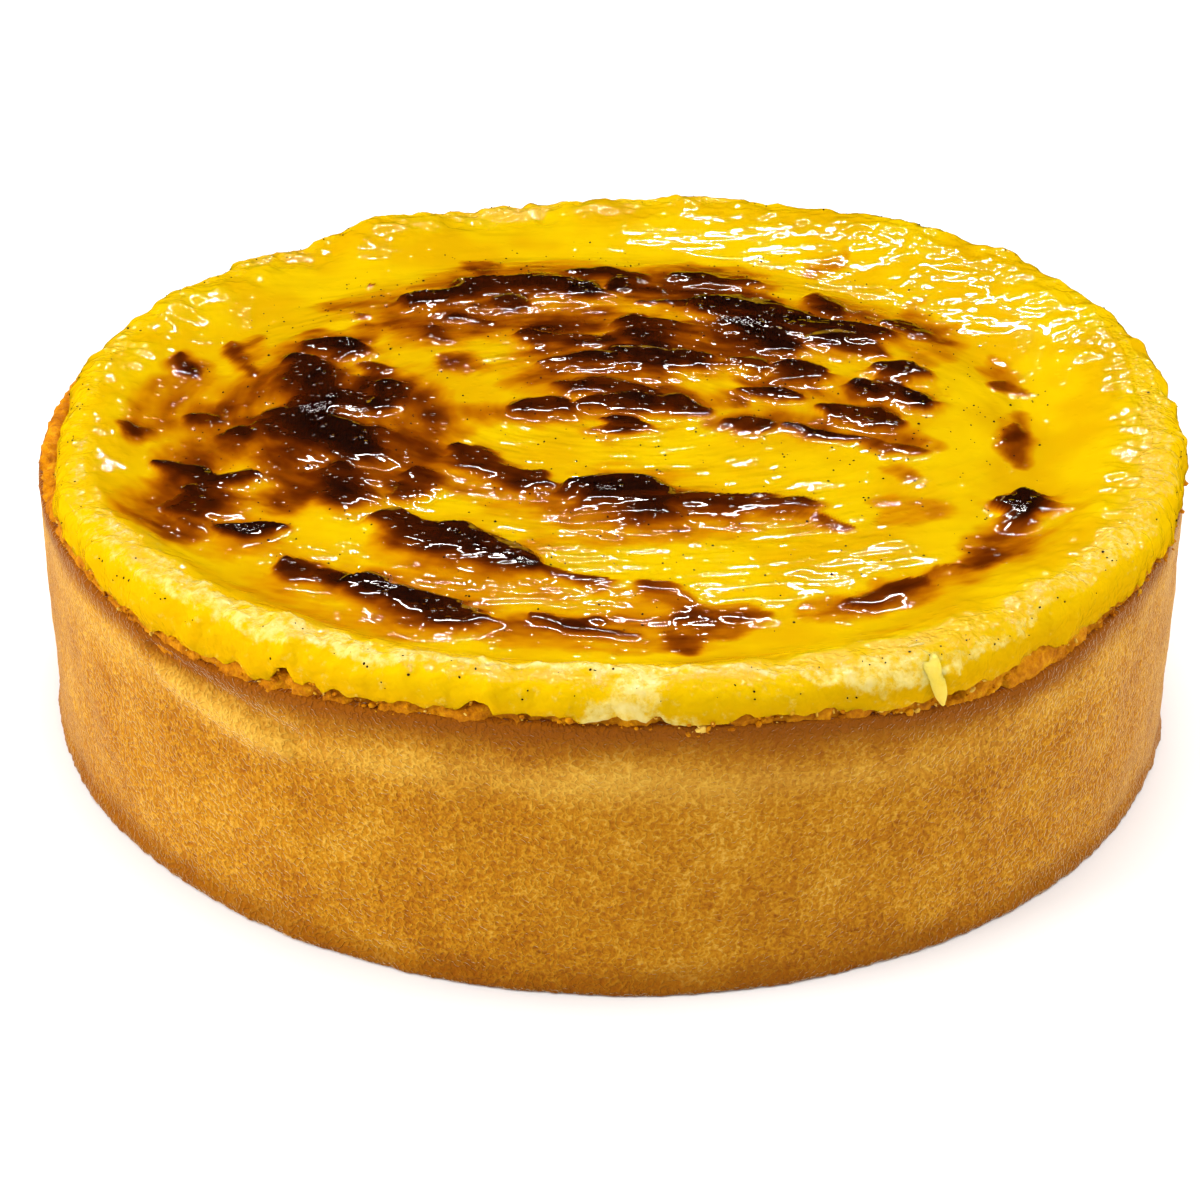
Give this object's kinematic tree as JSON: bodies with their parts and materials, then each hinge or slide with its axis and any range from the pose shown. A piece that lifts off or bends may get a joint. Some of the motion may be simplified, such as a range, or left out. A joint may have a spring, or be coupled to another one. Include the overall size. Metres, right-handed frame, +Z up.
{
  "type": "custard flan",
  "caption": "Round straight-sided baked flan: a golden pastry shell filled to over its rim with glossy yellow custard, scorched in dark patches on top.",
  "frame": {"origin": "centre of the flat base, on the surface that the flan stands on", "axes": "+Z up through the middle of the custard, -Y towards the side shown in front in the picture, +X to its right"},
  "size_m": [0.2004, 0.2004, 0.0569],
  "materials": {
    "baked_pastry": "matt golden brown shortcrust, finely pored, with faint drag lines from the ring",
    "baked_custard": "glossy saturated yellow baked custard, shading through amber to near black where it scorched"
  },
  "bodies": {
    "root": {"pastry_shell": "baked_pastry", "custard": "baked_custard"}
  },
  "joints": []
}
